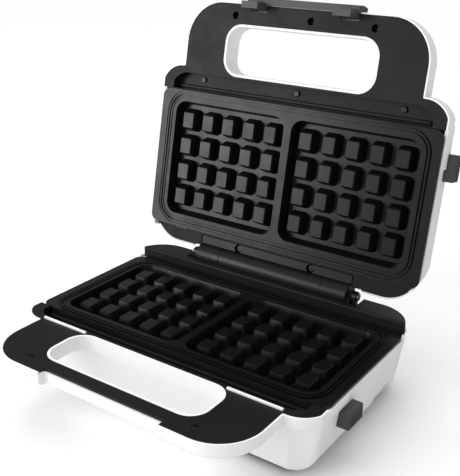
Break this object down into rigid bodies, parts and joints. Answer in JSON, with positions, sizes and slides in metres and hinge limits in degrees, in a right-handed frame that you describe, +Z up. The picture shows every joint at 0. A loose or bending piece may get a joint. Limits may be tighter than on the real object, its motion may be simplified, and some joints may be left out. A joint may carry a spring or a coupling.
{
  "type": "waffle maker",
  "caption": "Hinged double waffle maker standing open: white casing with loop handles, black liners, lift-out cast plates, hook latch and side plate-release buttons.",
  "frame": {"origin": "middle of the open object's bounding box, on the table plane under the feet", "axes": "+Z up, -Y towards the handle side, +X towards the side with the release buttons"},
  "size_m": [0.2702, 0.2708, 0.2827],
  "materials": {
    "white_plastic": "white satin gloss ABS",
    "black_plastic": "fine matte black plastic",
    "barrel_plastic": "satin black plastic",
    "grey_plastic": "mid-grey satin plastic",
    "button_plastic": "dark grey satin plastic",
    "non_stick": "dark grey non-stick coated cast aluminium",
    "gloss_white": "gloss white ABS",
    "screw_steel": "zinc-plated steel",
    "bracket_steel": "grey plated steel",
    "spring_steel": "spring steel",
    "rubber": "black rubber",
    "element_steel": "oxidised steel tube",
    "sheet_steel": "aluminised sheet",
    "guide_plastic": "black nylon",
    "ceramic": "cream ceramic and moulding",
    "board": "laminate board",
    "lens": "clear coloured lens"
  },
  "bodies": {
    "base": {"base_shell": "white_plastic", "base_panel": "black_plastic", "base_trim_strips": "gloss_white", "bottom_cover": "black_plastic", "bottom_cover_screws": "screw_steel", "rubber_feet": "rubber", "cord_grommet": "rubber", "terminal_block": "ceramic", "hinge_bracket": "bracket_steel", "hinge_pin": "screw_steel", "base_panel_screws": "screw_steel", "lower_heating_element": "element_steel", "lower_element_clips": "sheet_steel", "lower_reflector": "sheet_steel", "lower_thermostat": "ceramic", "thermal_fuse": "ceramic", "lower_release_spring": "spring_steel", "lower_release_guide": "guide_plastic"},
    "lid": {"lid_shell": "white_plastic", "lid_panel": "black_plastic", "hinge_barrel": "barrel_plastic", "hinge_barrel_screws": "screw_steel", "lid_handle_screws": "screw_steel", "lid_trough_screws": "screw_steel", "latch_pins": "screw_steel", "lamp_lenses": "lens", "lamp_board": "board", "upper_heating_element": "element_steel", "upper_element_clips": "sheet_steel", "upper_reflector": "sheet_steel", "upper_thermostat": "ceramic", "upper_release_spring": "spring_steel", "upper_release_guide": "guide_plastic"},
    "latch": {"latch": "grey_plastic"},
    "lower_plate": {"lower_plate": "non_stick"},
    "upper_plate": {"upper_plate": "non_stick"},
    "lower_button": {"lower_release_button": "button_plastic"},
    "upper_button": {"upper_release_button": "button_plastic"}
  },
  "joints": [
    {"name": "lid_hinge", "type": "hinge", "parent": "base", "child": "lid", "pos_m": [-0.0034, 0.08284, 0.0619], "axis": [-1, 0, 0], "range_deg": [-101, 0]},
    {"name": "latch_pivot", "type": "hinge", "parent": "lid", "child": "latch", "pos_m": [-0.0034, 0.12462, 0.27321], "axis": [-1, 0, 0], "range_deg": [-5, 10]},
    {"name": "lower_plate_lift", "type": "slide", "parent": "base", "child": "lower_plate", "axis": [0, 0, 1], "range_m": [0, 0.03]},
    {"name": "upper_plate_lift", "type": "slide", "parent": "lid", "child": "upper_plate", "axis": [0, -0.9816, 0.1908], "range_m": [0, 0.045]},
    {"name": "lower_button_press", "type": "slide", "parent": "base", "child": "lower_button", "axis": [-1, 0, 0], "range_m": [0, 0.0025], "stiffness_N_per_m": 800, "springref_m": -0.002, "deforming": ["lower_release_spring"]},
    {"name": "upper_button_press", "type": "slide", "parent": "lid", "child": "upper_button", "axis": [-1, 0, 0], "range_m": [0, 0.0025], "stiffness_N_per_m": 800, "springref_m": -0.002, "deforming": ["upper_release_spring"]}
  ]
}
